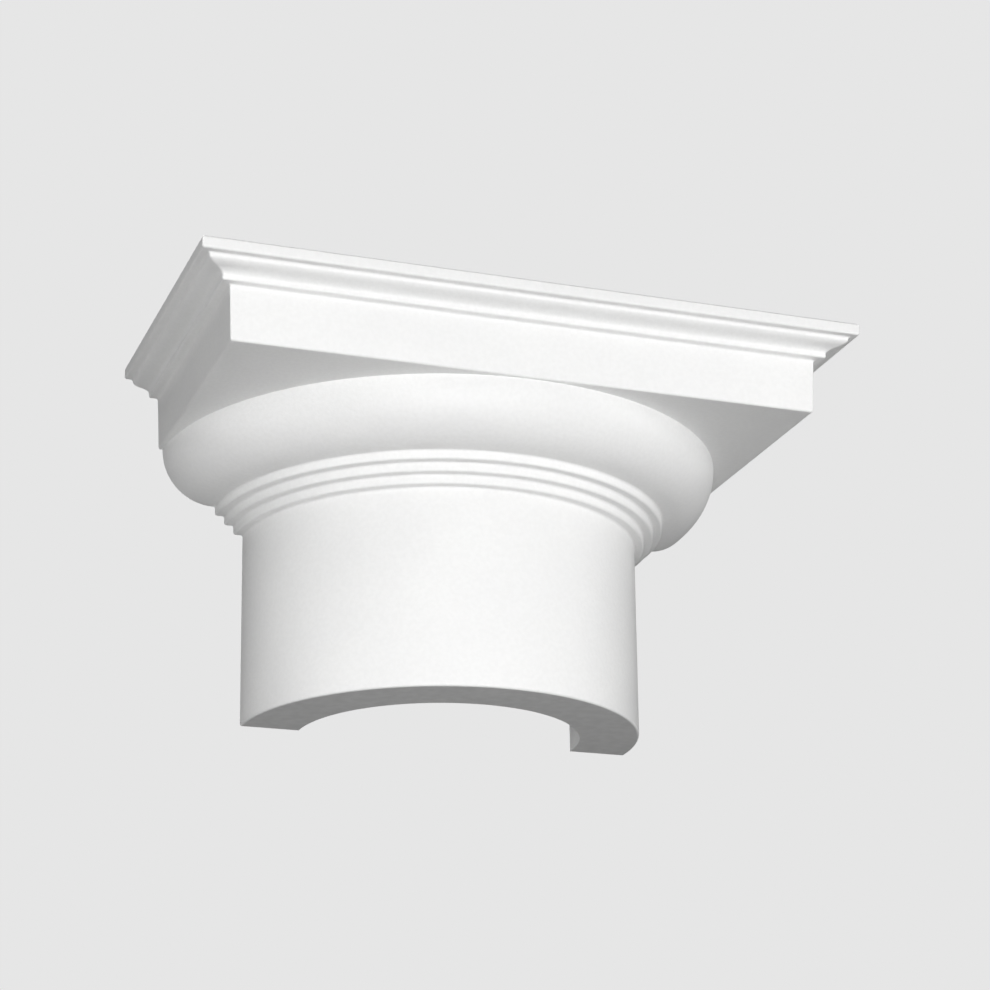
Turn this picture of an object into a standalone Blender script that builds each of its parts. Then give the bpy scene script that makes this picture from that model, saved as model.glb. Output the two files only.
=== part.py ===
"""Half column capital, moulded in one piece.

From the foot up: a plain half-round neck, three stepped annulets, an ovolo, and half of a square abacus
whose fascia carries a listel, a cyma reversa and a crown fillet. Edges and inner corners are soft, as they
come out of a mould. The back is cut flat where it meets the wall, and a half-round bore runs through it, so
that it can clad a post.

Metres, +Z up, the front towards -Y. The origin is on the ground, in the middle of the outer box.
"""
import math

import bmesh
import bpy

# Neck
NECK_RADIUS = 0.1100        # outside of the neck at its foot
NECK_FLARE = 0.0006         # draft of the mould: how much wider the neck is at its top
NECK_HEIGHT = 0.1068        # from the foot to the lowest annulet
WALL_THICKNESS = 0.0323     # from the neck's outside to the bore, at the foot

# Annulets, each standing out from what is below it
ANNULET_COUNT = 3
ANNULET_HEIGHT = 0.00494
ANNULET_PROJECTION = 0.0052
ANNULET_ROUND = 0.0012      # rounding of each annulet's lower edge

# Ovolo, a quarter of an ellipse
OVOLO_SET_OUT = 0.0016      # small flat between the top annulet and the ovolo
OVOLO_PROJECTION = 0.0284
OVOLO_HEIGHT = 0.0298

# Abacus, half of a square block
ABACUS_MARGIN = 0.0010      # flat of the soffit at its narrowest, outside the ovolo's widest ring
FASCIA_HEIGHT = 0.0294
FASCIA_FLARE = 0.0012       # draft of the mould: how much further out the fascia stands at its top
LISTEL_PROJECTION = 0.0050
LISTEL_HEIGHT = 0.0024
CYMA_PROJECTION = 0.0092
CYMA_HEIGHT = 0.0071
CYMA_SWEEP = 60.0           # degrees of arc in each half of the S
CROWN_PROJECTION = 0.0046
CROWN_HEIGHT = 0.0065

# Softening of the casting's edges
ARRIS_ROUND = 0.0013        # long edges of the abacus, and the foot of the neck
LISTEL_ROUND = 0.0010
CREASE_ROUND = 0.0013       # inner corners

# How finely the curves are faceted
HALF_TURN_STEPS = 72        # round the front, from one cheek to the other
OVOLO_STEPS = 16
CYMA_STEPS = 6              # in each half of the S
ROUND_STEPS = 3

BORE_RADIUS = NECK_RADIUS - WALL_THICKNESS
NECK_TOP_RADIUS = NECK_RADIUS + NECK_FLARE
OVOLO_FOOT_RADIUS = NECK_TOP_RADIUS + ANNULET_COUNT * ANNULET_PROJECTION + OVOLO_SET_OUT
OVOLO_RADIUS = OVOLO_FOOT_RADIUS + OVOLO_PROJECTION
OVOLO_FOOT = NECK_HEIGHT + ANNULET_COUNT * ANNULET_HEIGHT
SOFFIT = OVOLO_FOOT + OVOLO_HEIGHT
FASCIA_TOP = SOFFIT + FASCIA_HEIGHT
CYMA_FOOT = FASCIA_TOP + LISTEL_HEIGHT
CROWN_FOOT = CYMA_FOOT + CYMA_HEIGHT
TOP = CROWN_FOOT + CROWN_HEIGHT
ABACUS_HALF = OVOLO_RADIUS + ABACUS_MARGIN + ARRIS_ROUND
LISTEL_OUT = FASCIA_FLARE + LISTEL_PROJECTION
CYMA_OUT = LISTEL_OUT + CYMA_PROJECTION
OVERHANG = CYMA_OUT + CROWN_PROJECTION
WALL_PLANE = (ABACUS_HALF + OVERHANG) / 2      # the capital's axis lies in this plane, at X = 0


def clear_scene():
    for thing in list(bpy.data.objects):
        bpy.data.objects.remove(thing, do_unlink=True)


def arc(centre, half_across, half_up, start, end, steps):
    """Points along an ellipse from one angle to another, in degrees, both ends included."""
    points = []
    for step in range(steps + 1):
        angle = math.radians(start + (end - start) * step / steps)
        across = centre[0] + half_across * math.cos(angle)
        up = centre[1] + half_up * math.sin(angle)
        points.append((across, up))
    return points


def rounded_edge(out, height, size, start):
    """A quarter round of the given size: from straight down to straight out, or from there to straight up."""
    centre_height = height + size if start < 0 else height - size
    return arc((out - size, centre_height), size, size, start, start + 90, ROUND_STEPS)


def crease(out, height):
    """A soft inner corner, from straight up to straight out, where one member meets the next one's underside."""
    return arc((out + CREASE_ROUND, height - CREASE_ROUND), CREASE_ROUND, CREASE_ROUND, 180, 90, ROUND_STEPS)


def s_curve():
    """The cyma, hollow below and full above, both halves upright at their outer ends."""
    sweep = math.radians(CYMA_SWEEP)
    half_across = CYMA_PROJECTION / 2 / (1 - math.cos(sweep))
    half_up = (CYMA_HEIGHT - CREASE_ROUND) / 2 / math.sin(sweep)
    hollow_centre = (LISTEL_OUT + half_across, CYMA_FOOT)
    full_centre = (CYMA_OUT - half_across, CROWN_FOOT - CREASE_ROUND)
    hollow = arc(hollow_centre, half_across, half_up, 180, 180 - CYMA_SWEEP, CYMA_STEPS)
    full = arc(full_centre, half_across, half_up, -CYMA_SWEEP, 0, CYMA_STEPS)
    return hollow + full[1:-1]


def turned_section():
    """Bore, neck, annulets and ovolo as (radius, height): down the bore, out, and up to the soffit."""
    points = [(BORE_RADIUS, TOP), (BORE_RADIUS, 0.0)]
    points += rounded_edge(NECK_RADIUS, 0.0, ARRIS_ROUND, -90)
    radius = NECK_TOP_RADIUS
    foot = NECK_HEIGHT
    for _ in range(ANNULET_COUNT):
        points += crease(radius, foot)
        radius += ANNULET_PROJECTION
        points += rounded_edge(radius, foot, ANNULET_ROUND, -90)
        foot += ANNULET_HEIGHT
    points += crease(radius, foot)
    points += arc((OVOLO_FOOT_RADIUS, SOFFIT), OVOLO_PROJECTION, OVOLO_HEIGHT, -90, 0, OVOLO_STEPS)
    return points


def abacus_section():
    """The abacus as (distance out from the fascia's foot, height), from the soffit up to the top."""
    points = rounded_edge(0.0, SOFFIT, ARRIS_ROUND, -90)
    points += crease(FASCIA_FLARE, FASCIA_TOP)
    points += rounded_edge(LISTEL_OUT, FASCIA_TOP, LISTEL_ROUND, -90)
    points += s_curve()
    points += crease(CYMA_OUT, CROWN_FOOT)
    points += rounded_edge(OVERHANG, CROWN_FOOT, ARRIS_ROUND, -90)
    points += rounded_edge(OVERHANG, TOP, ARRIS_ROUND, 0)
    return points


def turned_sections(builder):
    """Copies of the turned section at even steps round the front, from the left cheek to the right one."""
    sections = []
    for step in range(HALF_TURN_STEPS + 1):
        angle = math.pi * step / HALF_TURN_STEPS
        across = -math.cos(angle)
        back = -math.sin(angle)
        sections.append([
            builder.verts.new((radius * across, WALL_PLANE + radius * back, height))
            for radius, height in turned_section()
        ])
    return sections


def mitred_sections(builder):
    """The abacus section at the left cheek, at the two mitred corners and at the right cheek."""
    sections = []
    for across, back in ((-1, 0), (-1, -1), (1, -1), (1, 0)):
        sections.append([
            builder.verts.new(((ABACUS_HALF + out) * across, WALL_PLANE + (ABACUS_HALF + out) * back, height))
            for out, height in abacus_section()
        ])
    return sections


def skin(builder, sections):
    """Four-sided faces between each section and the next."""
    for here, after in zip(sections, sections[1:]):
        for i in range(len(here) - 1):
            builder.faces.new((here[i], after[i], after[i + 1], here[i + 1]))


def capital_mesh():
    """The closed surface: two skins, joined by the soffit, the top and the two cheeks on the wall plane."""
    builder = bmesh.new()
    turned = turned_sections(builder)
    mitred = mitred_sections(builder)
    skin(builder, turned)
    skin(builder, mitred)
    soffit = [section[-1] for section in turned] + [section[0] for section in reversed(mitred)]
    top = [section[0] for section in turned] + [section[-1] for section in reversed(mitred)]
    for flat in (soffit, top, turned[0] + mitred[0], turned[-1] + mitred[-1]):
        builder.faces.new(flat)
    bmesh.ops.recalc_face_normals(builder, faces=builder.faces)
    mesh = bpy.data.meshes.new("half_column_capital")
    builder.to_mesh(mesh)
    builder.free()
    mesh.shade_smooth()
    mesh.set_sharp_from_angle(angle=math.radians(20))
    return mesh


def primed_foam():
    """Hard moulded polyurethane foam under a white factory primer."""
    material = bpy.data.materials.new("primed_foam")
    material.use_nodes = True
    shader = material.node_tree.nodes["Principled BSDF"]
    shader.inputs["Base Color"].default_value = (0.86, 0.86, 0.855, 1.0)
    shader.inputs["Roughness"].default_value = 0.55
    shader.inputs["Metallic"].default_value = 0.0
    return material


def main():
    clear_scene()
    capital = bpy.data.objects.new("half_column_capital", capital_mesh())
    capital.data.materials.append(primed_foam())
    bpy.context.collection.objects.link(capital)


main()
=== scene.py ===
# %% [markdown]
# A half column capital, moulded in one piece of hard foam and primed white.
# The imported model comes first. It is a fixed frame: it says where the capital stands and how big it is,
# and every new shape below has to agree with it.

# %% Load the frame
import math

import bmesh
import bpy
from mathutils import Matrix, Vector


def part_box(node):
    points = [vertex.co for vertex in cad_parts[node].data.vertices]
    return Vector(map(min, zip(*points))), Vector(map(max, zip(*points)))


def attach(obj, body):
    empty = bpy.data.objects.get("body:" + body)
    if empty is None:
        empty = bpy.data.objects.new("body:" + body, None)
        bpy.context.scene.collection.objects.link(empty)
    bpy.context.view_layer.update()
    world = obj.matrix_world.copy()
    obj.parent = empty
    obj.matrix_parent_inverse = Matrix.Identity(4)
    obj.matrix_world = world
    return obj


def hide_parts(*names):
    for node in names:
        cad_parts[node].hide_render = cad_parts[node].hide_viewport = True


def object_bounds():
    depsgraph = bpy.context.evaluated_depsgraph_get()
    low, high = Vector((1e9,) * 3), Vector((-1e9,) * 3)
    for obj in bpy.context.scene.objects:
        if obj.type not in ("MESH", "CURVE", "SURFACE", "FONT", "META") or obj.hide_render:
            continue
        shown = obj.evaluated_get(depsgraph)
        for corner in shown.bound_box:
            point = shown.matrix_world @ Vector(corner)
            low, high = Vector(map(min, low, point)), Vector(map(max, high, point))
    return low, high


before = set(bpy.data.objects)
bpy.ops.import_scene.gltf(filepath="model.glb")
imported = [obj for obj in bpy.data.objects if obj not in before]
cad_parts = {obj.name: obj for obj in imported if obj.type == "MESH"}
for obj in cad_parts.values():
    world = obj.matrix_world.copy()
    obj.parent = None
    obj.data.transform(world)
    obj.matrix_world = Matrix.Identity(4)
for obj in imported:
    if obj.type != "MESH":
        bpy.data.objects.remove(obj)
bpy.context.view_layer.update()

CAPITAL_NODE = "half_column_capital"
low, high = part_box(CAPITAL_NODE)
print("capital node", [round(1000 * (b - a), 1) for a, b in zip(low, high)], "mm")

# %% [markdown]
# A capital is drawn round one axis, that of its column. Here the axis lies in the wall plane, at the back
# of the box, because this is exactly half of a whole capital. Heights are measured from the foot of the neck
# and widths from the axis. The outermost ones are read off the frame. The rest are the moulder's sizes, in
# metres, and each moulding starts where the one below it ends.

# %% Sizes of the casting
WALL_PLANE = high.y
TOP = high.z
CROWN_HALF = high.x                 # half width of the top, and its depth from the wall

NECK_RADIUS = 0.1100
NECK_TOP_RADIUS = 0.1106
BORE_RADIUS = 0.0777
NECK_HEIGHT = 0.1068

ANNULETS = 3
ANNULET_HEIGHT = 0.00494
ANNULET_PROJECTION = 0.0052

OVOLO_SET_OUT = 0.0016
OVOLO_PROJECTION = 0.0284
OVOLO_HEIGHT = 0.0298

FASCIA_FLARE = 0.0012               # the draft that lets the casting leave its mould
LISTEL_PROJECTION = 0.0050
LISTEL_HEIGHT = 0.0024
CYMA_PROJECTION = 0.0092
CYMA_HEIGHT = 0.0071
CYMA_SWEEP = 60.0                   # degrees of arc in each half of the S
CROWN_PROJECTION = 0.0046
CROWN_HEIGHT = 0.0065

ARRIS_ROUND = 0.0013
ANNULET_ROUND = 0.0012
LISTEL_ROUND = 0.0010
CREASE_ROUND = 0.0013

OVOLO_FOOT = NECK_HEIGHT + ANNULETS * ANNULET_HEIGHT
OVOLO_FOOT_RADIUS = NECK_TOP_RADIUS + ANNULETS * ANNULET_PROJECTION + OVOLO_SET_OUT
SOFFIT = OVOLO_FOOT + OVOLO_HEIGHT
CROWN_FOOT = TOP - CROWN_HEIGHT
CYMA_FOOT = CROWN_FOOT - CYMA_HEIGHT
FASCIA_TOP = CYMA_FOOT - LISTEL_HEIGHT
LISTEL_OUT = FASCIA_FLARE + LISTEL_PROJECTION
CYMA_OUT = LISTEL_OUT + CYMA_PROJECTION
OVERHANG = CYMA_OUT + CROWN_PROJECTION
FASCIA_HALF = CROWN_HALF - OVERHANG
print("wall plane %.2f mm, soffit %.2f mm, fascia half width %.2f mm"
      % (1000 * WALL_PLANE, 1000 * SOFFIT, 1000 * FASCIA_HALF))

# %% [markdown]
# A moulding is a section, a thin slice seen from its end. Straight parts need only their ends, and round
# parts are arcs of a circle or an ellipse. One function gives the points of an arc, so the sections below
# hold only the corners that a joiner would mark. Most corners of a casting are soft: the mould and the
# primer round off the outer edges and fill the inner ones by about a millimetre.

# %% The arc, the edges and the crease
SMALL_ROUND_STEPS = 6


def arc(centre, half_across, half_up, start, end, steps):
    points = []
    for step in range(steps + 1):
        angle = math.radians(start + (end - start) * step / steps)
        points.append((centre[0] + half_across * math.cos(angle), centre[1] + half_up * math.sin(angle)))
    return points


def lower_edge(out, height, size):
    return arc((out - size, height + size), size, size, -90, 0, SMALL_ROUND_STEPS)


def upper_edge(out, height, size):
    return arc((out - size, height - size), size, size, 0, 90, SMALL_ROUND_STEPS)


def crease(out, height):
    """An inner corner, from straight up to straight out under the next member."""
    centre = (out + CREASE_ROUND, height - CREASE_ROUND)
    return arc(centre, CREASE_ROUND, CREASE_ROUND, 180, 90, SMALL_ROUND_STEPS)


print("outer edges round %.1f mm, inner corners %.1f mm" % (1000 * ARRIS_ROUND, 1000 * CREASE_ROUND))

# %% [markdown]
# The lower half of the capital is round: bore, neck, three annulets and the ovolo. A turner would cut it on
# a lathe, and Blender's spin does the same to a section. The section starts at the top of the bore, runs
# down it, out along the foot and up the outside, and stops where the ovolo meets the soffit.

# %% The turned section
OVOLO_STEPS = 48

turned_section = [(BORE_RADIUS, TOP), (BORE_RADIUS, 0.0)]
turned_section += lower_edge(NECK_RADIUS, 0.0, ARRIS_ROUND)
ring_radius = NECK_TOP_RADIUS
ring_foot = NECK_HEIGHT
for _ in range(ANNULETS):
    turned_section += crease(ring_radius, ring_foot)
    ring_radius += ANNULET_PROJECTION
    turned_section += lower_edge(ring_radius, ring_foot, ANNULET_ROUND)
    ring_foot += ANNULET_HEIGHT
turned_section += crease(ring_radius, ring_foot)
turned_section += arc((OVOLO_FOOT_RADIUS, SOFFIT), OVOLO_PROJECTION, OVOLO_HEIGHT, -90, 0, OVOLO_STEPS)
print("turned section:", len(turned_section), "points")

# %% [markdown]
# The upper part is square and runs round three sides with mitred corners. Its section goes from the soffit
# up the fascia, out along the small listel, along the S of the cyma reversa (hollow below, round above),
# and over the crown fillet. Each point is a distance out from the fascia's foot and a height. Each half of
# the S is less than a quarter of an ellipse, so the curve never lies quite flat and stays gentle.

# %% The abacus section
CYMA_STEPS = 16

sweep = math.radians(CYMA_SWEEP)
half_across = CYMA_PROJECTION / 2 / (1 - math.cos(sweep))
half_up = (CYMA_HEIGHT - CREASE_ROUND) / 2 / math.sin(sweep)
hollow_centre = (LISTEL_OUT + half_across, CYMA_FOOT)
full_centre = (CYMA_OUT - half_across, CROWN_FOOT - CREASE_ROUND)
abacus_section = lower_edge(0.0, SOFFIT, ARRIS_ROUND)
abacus_section += crease(FASCIA_FLARE, FASCIA_TOP)
abacus_section += lower_edge(LISTEL_OUT, FASCIA_TOP, LISTEL_ROUND)
abacus_section += arc(hollow_centre, half_across, half_up, 180, 180 - CYMA_SWEEP, CYMA_STEPS)
abacus_section += arc(full_centre, half_across, half_up, -CYMA_SWEEP, 0, CYMA_STEPS)[1:-1]
abacus_section += crease(CYMA_OUT, CROWN_FOOT)
abacus_section += lower_edge(OVERHANG, CROWN_FOOT, ARRIS_ROUND)
abacus_section += upper_edge(OVERHANG, TOP, ARRIS_ROUND)
print("abacus section:", len(abacus_section), "points")

# %% [markdown]
# Operators act on what is selected, so selecting is half of the work. The first helper clears the selection
# before a new primitive is added. The second one, in edit mode, selects the points that a test picks out by
# their place, which is what a hand with the mouse would do. Places are stored with about seven digits and
# the errors add up over many moves, so two of them count as the same within 0.02 mm.

# %% Selecting in code
NEAR = 2e-6
SAME_PLACE = 10 * NEAR


def clear_selection():
    if bpy.context.mode != 'OBJECT':
        bpy.ops.object.mode_set(mode='OBJECT')
    bpy.ops.object.select_all(action='DESELECT')


def select_points(piece, test):
    bpy.ops.mesh.select_mode(type='VERT')
    bpy.ops.mesh.select_all(action='DESELECT')
    shape = bmesh.from_edit_mesh(piece.data)
    chosen = [vertex for vertex in shape.verts if test(vertex.co)]
    for vertex in chosen:
        vertex.select = True
    shape.select_flush_mode()
    bmesh.update_edit_mesh(piece.data)
    return len(chosen)


print("places closer than %.3f mm are the same" % (1000 * SAME_PLACE))

# %% [markdown]
# To trace the section, a small plane is melted into one point and the point is extruded from corner to
# corner. It stands on the left cheek, on the wall plane. Then the spin sweeps it half a turn past the front
# to the right cheek. Many steps keep the big round of the ovolo smooth.

# %% Turn the neck, annulets and ovolo
TURN_STEPS = 288

clear_selection()
first_radius, first_height = turned_section[0]
bpy.ops.mesh.primitive_plane_add(size=0.01, location=(-first_radius, WALL_PLANE, first_height))
casting = bpy.context.object
casting.name = "primed_casting"
casting.data.name = "primed_casting"
bpy.ops.object.mode_set(mode='EDIT')
bpy.ops.mesh.select_mode(type='VERT')
bpy.ops.mesh.merge(type='CENTER')
for (radius, height), (next_radius, next_height) in zip(turned_section, turned_section[1:]):
    step = (radius - next_radius, 0.0, next_height - height)
    bpy.ops.mesh.extrude_region_move(TRANSFORM_OT_translate={"value": step})
bpy.ops.mesh.select_all(action='SELECT')
bpy.ops.object.mode_set(mode='OBJECT')
bpy.ops.object.transform_apply(location=True, rotation=True, scale=True)
bpy.ops.object.mode_set(mode='EDIT')
bpy.ops.mesh.spin(steps=TURN_STEPS, angle=math.pi, center=(0.0, WALL_PLANE, 0.0), axis=(0.0, 0.0, -1.0))
bpy.ops.object.mode_set(mode='OBJECT')
print("turned:", len(casting.data.polygons), "faces, front at %.1f mm"
      % (1000 * min(vertex.co.y for vertex in casting.data.vertices)))

# %% [markdown]
# The abacus starts as a plane of the size of the soffit. Its two front corners get a tiny round, because
# paint and demoulding never leave a razor edge. The face and the back edge go, and the outline that stays
# is extruded up the section: lift, then scale about the column's axis on the wall. Scaling a square about
# its own centre moves each side out by the same amount, so the mitres come out true by themselves.

# %% Raise the abacus
first_out, first_height = abacus_section[0]
first_half = FASCIA_HALF + first_out
clear_selection()
bpy.ops.mesh.primitive_plane_add(size=1.0, location=(0.0, WALL_PLANE - first_half / 2, first_height))
abacus = bpy.context.object
abacus.scale = (2 * first_half, first_half, 1.0)
bpy.ops.object.transform_apply(location=True, rotation=True, scale=True)
bpy.ops.object.mode_set(mode='EDIT')
select_points(abacus, lambda place: place.y < WALL_PLANE - NEAR)
bpy.ops.mesh.bevel(affect='VERTICES', offset=ARRIS_ROUND / math.sqrt(2), segments=SMALL_ROUND_STEPS)
bpy.ops.mesh.select_all(action='SELECT')
bpy.ops.mesh.delete(type='ONLY_FACE')
select_points(abacus, lambda place: place.y > WALL_PLANE - NEAR)
bpy.ops.mesh.delete(type='EDGE')
bpy.ops.mesh.select_all(action='SELECT')
for (out, height), (next_out, next_height) in zip(abacus_section, abacus_section[1:]):
    growth = (FASCIA_HALF + next_out) / (FASCIA_HALF + out)
    bpy.ops.mesh.extrude_region_move(TRANSFORM_OT_translate={"value": (0.0, 0.0, next_height - height)})
    bpy.ops.transform.resize(value=(growth, growth, 1.0), center_override=(0.0, WALL_PLANE, next_height))
bpy.ops.object.mode_set(mode='OBJECT')
print("abacus:", len(abacus.data.polygons), "faces, front at %.2f mm"
      % (1000 * min(vertex.co.y for vertex in abacus.data.vertices)))

# %% [markdown]
# Two open skins are now in place. They are joined into one mesh, and what is open is closed as on the real
# casting, with flat faces: the soffit between ovolo and fascia, the top, and the two cheeks that lie on the
# wall. Four short edges bridge the gaps first, then each flat is filled from its own ring of points.

# %% Close the casting
def bridge_edge(piece, start, end):
    """An edge between the two points that lie at the given places."""
    found = select_points(
        piece, lambda place: min((place - start).length, (place - end).length) < SAME_PLACE)
    assert found == 2, found
    bpy.ops.mesh.edge_face_add()


def fill_flat(piece, test):
    """One face over the ring of open edges whose ends all pass the test."""
    bpy.ops.mesh.select_mode(type='EDGE')
    bpy.ops.mesh.select_all(action='DESELECT')
    shape = bmesh.from_edit_mesh(piece.data)
    for edge in shape.edges:
        if len(edge.link_faces) < 2 and all(test(vertex.co) for vertex in edge.verts):
            edge.select = True
    shape.select_flush_mode()
    bmesh.update_edit_mesh(piece.data)
    bpy.ops.mesh.edge_face_add()


clear_selection()
abacus.select_set(True)
casting.select_set(True)
bpy.context.view_layer.objects.active = casting
bpy.ops.object.join()
bpy.ops.object.mode_set(mode='EDIT')
soffit_half = FASCIA_HALF + abacus_section[0][0]
top_half = FASCIA_HALF + abacus_section[-1][0]
ovolo_radius = turned_section[-1][0]
for side in (-1, 1):
    ovolo_end = Vector((side * ovolo_radius, WALL_PLANE, SOFFIT))
    bridge_edge(casting, ovolo_end, Vector((side * soffit_half, WALL_PLANE, SOFFIT)))
    bore_end = Vector((side * BORE_RADIUS, WALL_PLANE, TOP))
    bridge_edge(casting, bore_end, Vector((side * top_half, WALL_PLANE, TOP)))
fill_flat(casting, lambda place: abs(place.z - SOFFIT) < SAME_PLACE)
fill_flat(casting, lambda place: abs(place.z - TOP) < SAME_PLACE)
for side in (-1, 1):
    fill_flat(casting, lambda place: abs(place.y - WALL_PLANE) < SAME_PLACE and side * place.x > 0)
bpy.ops.mesh.select_all(action='SELECT')
bpy.ops.mesh.normals_make_consistent(inside=False)
bpy.ops.object.mode_set(mode='OBJECT')
whole = bmesh.new()
whole.from_mesh(casting.data)
open_edges = sum(1 for edge in whole.edges if len(edge.link_faces) != 2)
print("casting:", len(whole.faces), "faces,", open_edges, "open edges, %.3f litres"
      % (1000 * whole.calc_volume()))
whole.free()

# %% [markdown]
# Smooth shading blends the light over neighbouring faces. It is right on the round surfaces and across the
# softened edges and creases, and wrong where the casting is cut off sharply, at the wall and round the bore,
# so only faces that meet at a small angle are blended. The Weighted Normal modifier then lets the large
# faces win, so that a flat stays evenly lit up to the rounded edge beside it.

# %% Shade the casting
SMOOTH_BELOW = math.radians(30)
clear_selection()
casting.select_set(True)
bpy.context.view_layer.objects.active = casting
bpy.ops.object.shade_smooth_by_angle(angle=SMOOTH_BELOW)
flats_win = casting.modifiers.new("flats_win", 'WEIGHTED_NORMAL')
flats_win.keep_sharp = True
bpy.ops.object.modifier_apply(modifier=flats_win.name)
print("shaded:", sum(len(face.vertices) - 2 for face in casting.data.polygons), "triangles")

# %% [markdown]
# A finish is built from nodes, and most of them are set up in the same way: some settings, some numbers on
# the sockets, some links from earlier nodes. One helper does that. Two more keep the numbers honest: colours
# are written in the usual hex form and turned into the linear values that the renderer counts with, and the
# size of a pattern is written in millimetres on the casting.

# %% Helpers for finishes
MILLIMETRE = 0.001


def linear(hex_colour):
    """Four linear numbers from a hex colour."""
    channels = [int(hex_colour[i:i + 2], 16) / 255 for i in (1, 3, 5)]
    return [c / 12.92 if c <= 0.04045 else ((c + 0.055) / 1.055) ** 2.4 for c in channels] + [1.0]


def patches_of(millimetres):
    """The scale of a pattern on metres whose patches are about so many millimetres across."""
    return 1000.0 / millimetres


def add_node(tree, kind, settings=None, inputs=None, links=()):
    """A node with its settings, its socket values, and its links as (socket, node before it, output)."""
    node = tree.nodes.new(kind)
    for name, value in (settings or {}).items():
        setattr(node, name, value)
    for name, value in (inputs or {}).items():
        node.inputs[name].default_value = value
    for socket, source, output in links:
        tree.links.new(source.outputs[output], node.inputs[socket])
    return node


print("hex #808080 is %.3f in linear values" % linear("#808080")[0])

# %% [markdown]
# The front is moulded skin under one coat of factory primer: a neutral white with a dry, faint satin. Seen
# close it is not flat. The coat is a touch thicker in one place than in another, the spray leaves an orange
# peel of about two millimetres, and the filler in the paint a finer grain. Each of these gets a noise of its
# own size, and all of them are weak, because a white casting shows its form first. Soft light all but hides
# so shallow a peel, so its pattern is also painted a little greyer into the colour, as painted shade of the
# peel. The foot is the end where the casting is trimmed to length. There the peel is larger and its painted
# shade stronger.

# %% Sprayed white primer
THICKER_COAT = "#F2F2F1"
THINNER_COAT = "#ECECEC"
# the grey of the painted shade that follows the peel
PAINTED_PEEL_SHADE_GREY = "#E0E0DF"
COAT_PATCH = 40             # mm, as are the other two
PEEL_PATCH = 2.2
GRAIN_PATCH = 0.6           # about the smallest that the picture can show
PEEL_DEPTH = 0.09 * MILLIMETRE
GRAIN_DEPTH = 0.03 * MILLIMETRE


def white_primer(name, peel_size, painted_shade_amount):
    """Satin primer with a peel of so many millimetres, whose pattern is also painted greyer as painted
    shade.
    """
    material = bpy.data.materials.new(name)
    material.use_nodes = True
    tree = material.node_tree
    shader = tree.nodes["Principled BSDF"]
    shader.inputs["IOR"].default_value = 1.5
    place = add_node(tree, "ShaderNodeTexCoord")
    on_casting = [("Vector", place, "Object")]
    coat = add_node(tree, "ShaderNodeTexNoise", None, {"Scale": patches_of(COAT_PATCH), "Detail": 4.0},
                    on_casting)
    tint = add_node(tree, "ShaderNodeMix", {"data_type": 'RGBA'},
                    {"A": linear(THINNER_COAT), "B": linear(THICKER_COAT)}, [("Factor", coat, "Fac")])
    sheen = add_node(tree, "ShaderNodeMapRange", None, {"To Min": 0.48, "To Max": 0.64},
                     [("Value", coat, "Fac")])
    peel = add_node(tree, "ShaderNodeTexNoise", None, {"Scale": patches_of(peel_size), "Detail": 1.0},
                    on_casting)
    # painted shade: the peel's pattern greys the colour, standing in for the shading of its bumps
    peel_shade_amount = add_node(tree, "ShaderNodeMapRange", None,
                    {"From Min": 0.35, "From Max": 0.65, "To Max": painted_shade_amount}, [("Value", peel, "Fac")])
    painted_mottle = add_node(tree, "ShaderNodeMix", {"data_type": 'RGBA'}, {"B": linear(PAINTED_PEEL_SHADE_GREY)},
                      [("Factor", peel_shade_amount, "Result"), ("A", tint, "Result")])
    grain = add_node(tree, "ShaderNodeTexNoise", None, {"Scale": patches_of(GRAIN_PATCH), "Detail": 2.0},
                     on_casting)
    fine = add_node(tree, "ShaderNodeBump", None, {"Strength": 1.0, "Distance": GRAIN_DEPTH},
                    [("Height", grain, "Fac")])
    skin = add_node(tree, "ShaderNodeBump", None, {"Strength": 1.0, "Distance": PEEL_DEPTH},
                    [("Height", peel, "Fac"), ("Normal", fine, "Normal")])
    tree.links.new(painted_mottle.outputs["Result"], shader.inputs["Base Color"])
    tree.links.new(sheen.outputs["Result"], shader.inputs["Roughness"])
    tree.links.new(skin.outputs["Normal"], shader.inputs["Normal"])
    return material


print("peel of %.1f mm, %.2f mm deep" % (PEEL_PATCH, PEEL_DEPTH / MILLIMETRE))

# %% [markdown]
# The wall side was the open side of the mould. There the foam is struck off flat and gets no paint, so it is
# a warmer white, quite dull, and full of small cut bubbles. Cells of a Voronoi pattern make the bubbles: the
# middle of each cell is a pit, painted darker as painted shade, and a second, larger noise lets some of them
# fade out.

# %% Struck foam
FOAM_LIGHT = "#ECE8DC"
FOAM_DARK = "#E4DFD0"
# painted shade in the pits of the cut bubbles
PIT_PAINTED_SHADE = "#C9C2AF"
RISE_PATCH = 18             # mm, the cloud in which the foam rose
BUBBLE_PATCH = 1.6
BUBBLE_DEPTH = 0.3 * MILLIMETRE


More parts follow.
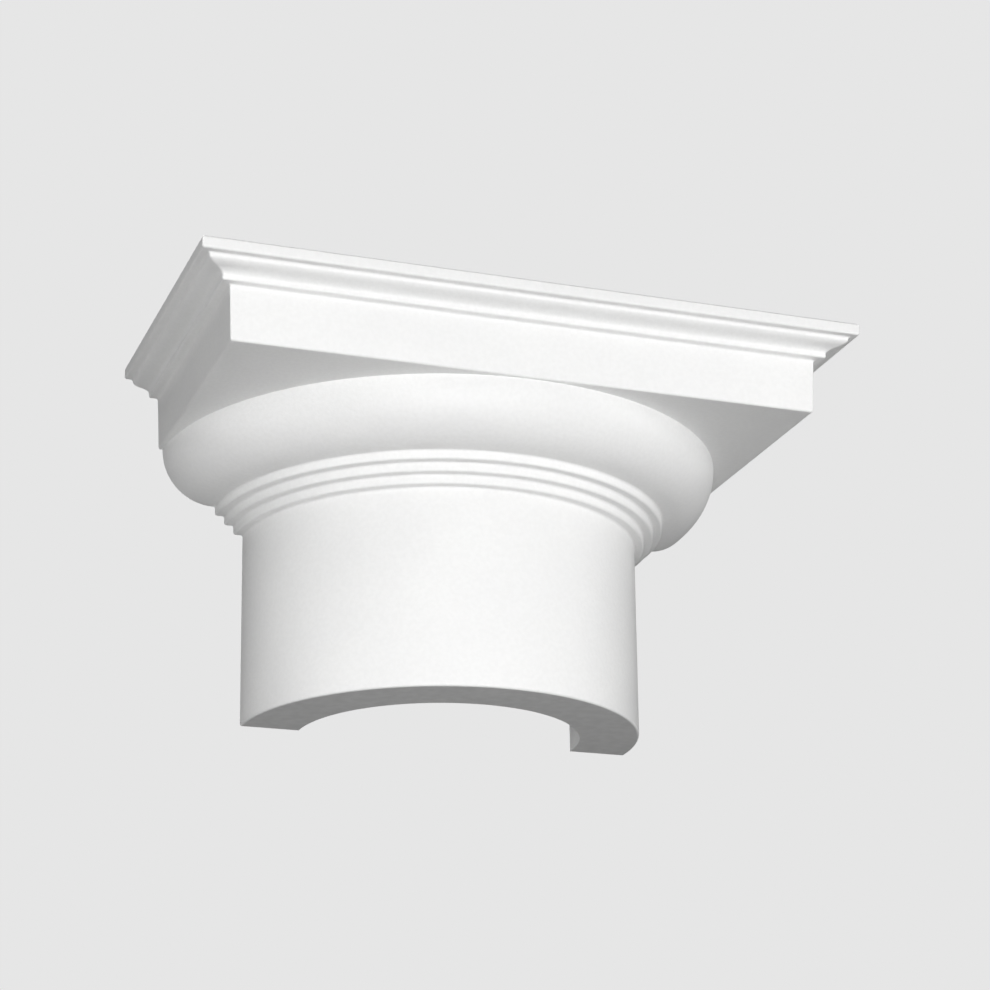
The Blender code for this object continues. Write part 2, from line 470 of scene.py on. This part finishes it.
def struck_foam():
    material = bpy.data.materials.new("struck_polyurethane_foam")
    material.use_nodes = True
    tree = material.node_tree
    shader = tree.nodes["Principled BSDF"]
    shader.inputs["Roughness"].default_value = 0.85
    shader.inputs["IOR"].default_value = 1.5
    place = add_node(tree, "ShaderNodeTexCoord")
    on_casting = [("Vector", place, "Object")]
    rise = add_node(tree, "ShaderNodeTexNoise", None, {"Scale": patches_of(RISE_PATCH), "Detail": 3.0},
                    on_casting)
    bubble = add_node(tree, "ShaderNodeTexVoronoi", None, {"Scale": patches_of(BUBBLE_PATCH)}, on_casting)
    rim = add_node(tree, "ShaderNodeMapRange", None, {"From Min": 0.12, "From Max": 0.3},
                   [("Value", bubble, "Distance")])
    kept = add_node(tree, "ShaderNodeMapRange", None, {"From Min": 0.45, "From Max": 0.6},
                    [("Value", rise, "Fac")])
    depth = add_node(tree, "ShaderNodeMath", {"operation": 'MAXIMUM'}, None,
                     [(0, rim, "Result"), (1, kept, "Result")])
    foam = add_node(tree, "ShaderNodeMix", {"data_type": 'RGBA'},
                    {"A": linear(FOAM_DARK), "B": linear(FOAM_LIGHT)}, [("Factor", rise, "Fac")])
    # painted shade: the middle of each bubble is coloured darker, where its pit is
    tint = add_node(tree, "ShaderNodeMix", {"data_type": 'RGBA'}, {"A": linear(PIT_PAINTED_SHADE)},
                    [("Factor", depth, "Value"), ("B", foam, "Result")])
    pits = add_node(tree, "ShaderNodeBump", None, {"Strength": 0.6, "Distance": BUBBLE_DEPTH},
                    [("Height", depth, "Value")])
    tree.links.new(tint.outputs["Result"], shader.inputs["Base Color"])
    tree.links.new(pits.outputs["Normal"], shader.inputs["Normal"])
    return material


print("bubbles of %.1f mm, %.1f mm deep" % (BUBBLE_PATCH, BUBBLE_DEPTH / MILLIMETRE))

# %% [markdown]
# Paint goes on with the face selection, too. Everything starts out primed. Then the flat faces in the wall
# plane are picked by their normal and get the bare foam, and those on the ground get the coat with the
# coarser peel and the stronger painted shade.

# %% Put the finishes on the casting
FLAT_ON = 0.999             # how much of a face's unit normal has to point the wanted way
# painted shade of the peel, and the stronger painted shade on the coarser peel of the foot
PEEL_PAINTED_SHADE = 0.17           # how far the clouds go towards their grey at most
FOOT_PATCH = 6.0            # mm
FOOT_PAINTED_SHADE = 0.5


def paint_faces(slot, test):
    """Give the finish in one material slot to the faces that pass the test."""
    bpy.ops.mesh.select_mode(type='FACE')
    bpy.ops.mesh.select_all(action='DESELECT')
    shape = bmesh.from_edit_mesh(casting.data)
    chosen = [face for face in shape.faces if test(face)]
    for face in chosen:
        face.select = True
    bmesh.update_edit_mesh(casting.data)
    casting.active_material_index = slot
    bpy.ops.object.material_slot_assign()
    return round(1e4 * sum(face.calc_area() for face in chosen))


casting.data.materials.append(white_primer("sprayed_white_primer", PEEL_PATCH, PEEL_PAINTED_SHADE))
casting.data.materials.append(struck_foam())
casting.data.materials.append(white_primer("primer_on_trimmed_foot", FOOT_PATCH, FOOT_PAINTED_SHADE))
clear_selection()
casting.select_set(True)
bpy.context.view_layer.objects.active = casting
bpy.ops.object.mode_set(mode='EDIT')
foam_area = paint_faces(1, lambda face: face.normal.y > FLAT_ON and len(face.verts) > 4)
foot_area = paint_faces(2, lambda face: face.normal.z < -FLAT_ON and face.calc_center_median().z < NEAR)
bpy.ops.object.mode_set(mode='OBJECT')
print("bare foam on", foam_area, "cm2, trimmed foot", foot_area, "cm2")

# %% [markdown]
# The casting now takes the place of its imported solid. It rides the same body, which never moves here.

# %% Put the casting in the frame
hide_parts(CAPITAL_NODE)
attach(casting, "root")
visual_low, visual_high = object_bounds()
print("visual box", [round(1000 * (b - a), 2) for a, b in zip(visual_low, visual_high)], "mm")

# %% [markdown]
# The camera stands low, in front and to the left, and looks up under the abacus. The place, the turn and the
# long lens were measured from the perspective of the photograph.

# %% Camera
CAMERA_PLACE = Vector((-0.45010, WALL_PLANE - 1.34906, -0.37156))
CAMERA_TURN = math.radians(19.803)      # to the right of the wall's normal
CAMERA_PITCH = math.radians(19.851)     # upwards
CAMERA_ROLL = math.radians(-0.782)
LENS_IN_PIXELS = 2692.1
FRAME_PIXELS = 990
FILM_WIDTH = 36.0                       # mm

clear_selection()
bpy.ops.object.camera_add(location=CAMERA_PLACE)
camera = bpy.context.object
forward = Vector((math.sin(CAMERA_TURN) * math.cos(CAMERA_PITCH),
                  math.cos(CAMERA_TURN) * math.cos(CAMERA_PITCH), math.sin(CAMERA_PITCH)))
level = Vector((math.cos(CAMERA_TURN), -math.sin(CAMERA_TURN), 0.0))
upright = level.cross(forward)
right = level * math.cos(CAMERA_ROLL) + upright * math.sin(CAMERA_ROLL)
up = upright * math.cos(CAMERA_ROLL) - level * math.sin(CAMERA_ROLL)
turned = Matrix((right, up, -forward)).transposed()
camera.rotation_euler = turned.to_euler()
camera.data.sensor_width = FILM_WIDTH
camera.data.lens = LENS_IN_PIXELS / FRAME_PIXELS * FILM_WIDTH
camera.data.clip_start = 0.01
camera.data.clip_end = 200.0
bpy.context.scene.camera = camera
print("lens %.1f mm" % camera.data.lens)

# %% [markdown]
# The capital hangs in a pale studio, high enough above the floor for a camera that looks up under the
# abacus. The floor and the air behind it look the same even light grey, so the white casting stands out
# against both. A lit floor would throw its light back up and wash out the shade under the abacus, so this
# one glows evenly by itself and is hidden from all rays but the camera's. The air needs a node for that:
# Light Path tells a camera ray from the others, which find only a faint fill.

# %% Floor and room
PALE_GREY = "#E6E6E6"
FLOOR_HEIGHT = -1.8
FLOOR_WIDTH = 60.0
ROOM_FILL = 0.005

clear_selection()
bpy.ops.mesh.primitive_plane_add(size=FLOOR_WIDTH, location=(0.0, 0.0, FLOOR_HEIGHT))
floor = bpy.context.object
floor.name = "pale_floor"
floor_paint = bpy.data.materials.new("pale_floor_paint")
floor_paint.use_nodes = True
tree = floor_paint.node_tree
tree.nodes.clear()
glow = add_node(tree, "ShaderNodeEmission", None, {"Color": linear(PALE_GREY)})
add_node(tree, "ShaderNodeOutputMaterial", None, None, [("Surface", glow, "Emission")])
floor.data.materials.append(floor_paint)
floor.visible_diffuse = False
floor.visible_glossy = False
floor.visible_shadow = False

world = bpy.data.worlds.new("pale_studio")
bpy.context.scene.world = world
world.use_nodes = True
tree = world.node_tree
tree.nodes.clear()
seen = add_node(tree, "ShaderNodeBackground", None, {"Color": linear(PALE_GREY)})
felt = add_node(tree, "ShaderNodeBackground", None, {"Color": linear("#FFFFFF"), "Strength": ROOM_FILL})
ray = add_node(tree, "ShaderNodeLightPath")
air = add_node(tree, "ShaderNodeMixShader", None, None,
               [(0, ray, "Is Camera Ray"), (1, felt, "Background"), (2, seen, "Background")])
add_node(tree, "ShaderNodeOutputWorld", None, None, [("Surface", air, "Shader")])
bpy.context.scene.view_settings.view_transform = 'Standard'
print("floor at %.1f m, room fill %.3f" % (FLOOR_HEIGHT, ROOM_FILL))

# %% [markdown]
# Soft boxes stand round the casting, each one square and turned to a point just above its middle. The key is
# low in front on the camera's side, so the fascia and the neck are bright and the undersides get only a
# slanting share. A small box close by on the right lets the light on the round parts fall off quickly. The
# next three are weaker: one on the left for the side of the abacus, one high on the left for the crown, and
# one low in front for the soffit and the foot. The last stands straight behind, where it can't reach the
# front or the sides. It is there for the views of the wall side and the top.

# %% Soft boxes
LIT_POINT = Vector((0.0, 0.0, 0.12))
FAR = 2.2                   # metres from the lit point
CLOSE = 1.1
LARGE = 0.8                 # metres along each side
MEDIUM = 0.5
SMALL = 0.3


def soft_box(name, azimuth, elevation, distance, size, watts):
    """A square area light round the casting. Azimuth 0 is straight in front and grows to the right."""
    across = math.radians(azimuth)
    upward = math.radians(elevation)
    outward = math.cos(upward)
    away = Vector((math.sin(across) * outward, -math.cos(across) * outward, math.sin(upward)))
    clear_selection()
    bpy.ops.object.light_add(type='AREA', location=LIT_POINT + distance * away,
                             rotation=away.to_track_quat('Z', 'Y').to_euler())
    lamp = bpy.context.object
    lamp.name = name
    lamp.data.shape = 'SQUARE'
    lamp.data.size = size
    lamp.data.energy = watts
    print("%s: %.1f W at %s m" % (name, watts, [round(place, 2) for place in lamp.location]))


soft_box("key", -20, -20, FAR, LARGE, 37.5)
soft_box("near_right", 65, 3, CLOSE, MEDIUM, 4.8)
soft_box("left_side", -70, 10, FAR, LARGE, 8.4)
soft_box("left_high", -50, 45, FAR, LARGE, 7.8)
soft_box("low_front", 10, -35, FAR, LARGE, 7.5)
soft_box("straight_behind", 180, 40, FAR, SMALL, 42.0)
